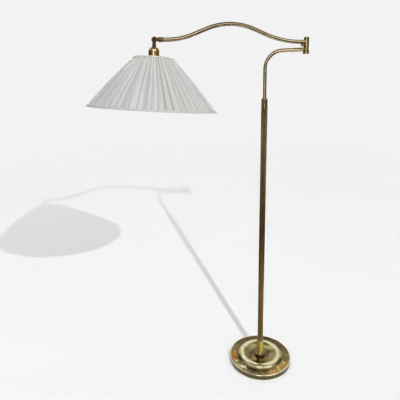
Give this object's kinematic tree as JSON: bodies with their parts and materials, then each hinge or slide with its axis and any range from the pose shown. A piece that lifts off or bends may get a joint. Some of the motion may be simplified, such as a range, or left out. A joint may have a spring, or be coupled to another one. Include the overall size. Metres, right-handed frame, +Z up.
{
  "type": "swing arm floor lamp",
  "caption": "Floor lamp with a weighted round base, reeded column with twist lock, sliding curved stem, bent swing arm and a tilting pleated cone shade.",
  "frame": {"origin": "on the floor at the centre of the round base", "axes": "+Z up along the column, +X from the column towards the swing joint of the resting stem, -Y towards the viewer of the picture"},
  "size_m": [0.8056, 0.6366, 1.5418],
  "materials": {
    "brass": "polished",
    "brass_aged": "satin",
    "cast_iron": "as cast",
    "felt": "felt",
    "steel": "plated",
    "nylon": "moulded",
    "holder": "cream moulded",
    "glass": "opal",
    "cloth": "gathered cotton voile"
  },
  "bodies": {
    "stand": {"base_cover": "brass", "base_weight": "cast_iron", "base_felt": "felt", "base_nipple": "steel", "base_washer": "steel", "base_nut": "steel", "cord_bush": "nylon", "foot_collar": "brass", "foot_ferrule": "brass", "foot_ring": "brass", "tube_insert": "steel", "outer_tube": "brass_aged", "top_ferrule": "brass_aged", "collet": "nylon"},
    "lock": {"lock_collar": "brass_aged"},
    "slider": {"guide_bush": "nylon"},
    "stem": {"stop_ring_low": "steel", "stop_ring_high": "steel", "stem_tube": "brass_aged", "lower_knuckle": "brass_aged", "hinge_pin": "steel", "pin_cap": "brass_aged", "swing_washer": "nylon"},
    "arm": {"upper_knuckle": "brass_aged", "arm_tube": "brass_aged", "arm_fork": "brass_aged", "tilt_screw": "brass_aged", "tilt_nut": "brass_aged"},
    "head": {"head_tongue": "brass_aged", "neck_ring": "nylon", "head_nipple": "steel", "socket_cup": "brass_aged", "socket_core": "holder", "socket_shell": "brass", "shade_ring": "holder", "bulb_cap": "steel", "bulb_glass": "glass", "shade_frame": "steel", "shade_cover": "cloth", "top_trim": "cloth", "bottom_trim": "cloth"}
  },
  "joints": [
    {"name": "lock_turn", "type": "hinge", "parent": "stand", "child": "lock", "pos_m": [0, 0, 1.255], "axis": [0, 0, 1], "range_deg": [-90, 90]},
    {"name": "height_slide", "type": "slide", "parent": "stand", "child": "slider", "axis": [0, 0, 1], "range_m": [-0.105, 0.3]},
    {"name": "stem_turn", "type": "hinge", "parent": "slider", "child": "stem", "pos_m": [0, 0, 0.846], "axis": [0, 0, 1], "range_deg": [-170, 170]},
    {"name": "arm_swing", "type": "hinge", "parent": "stem", "child": "arm", "pos_m": [0.156, 0, 1.475], "axis": [0, 0, 1], "range_deg": [-170, 170]},
    {"name": "shade_tilt", "type": "hinge", "parent": "arm", "child": "head", "pos_m": [-0.3839, -0.24038, 1.48124], "axis": [0.4067, -0.9135, 0], "range_deg": [-80, 35]}
  ]
}
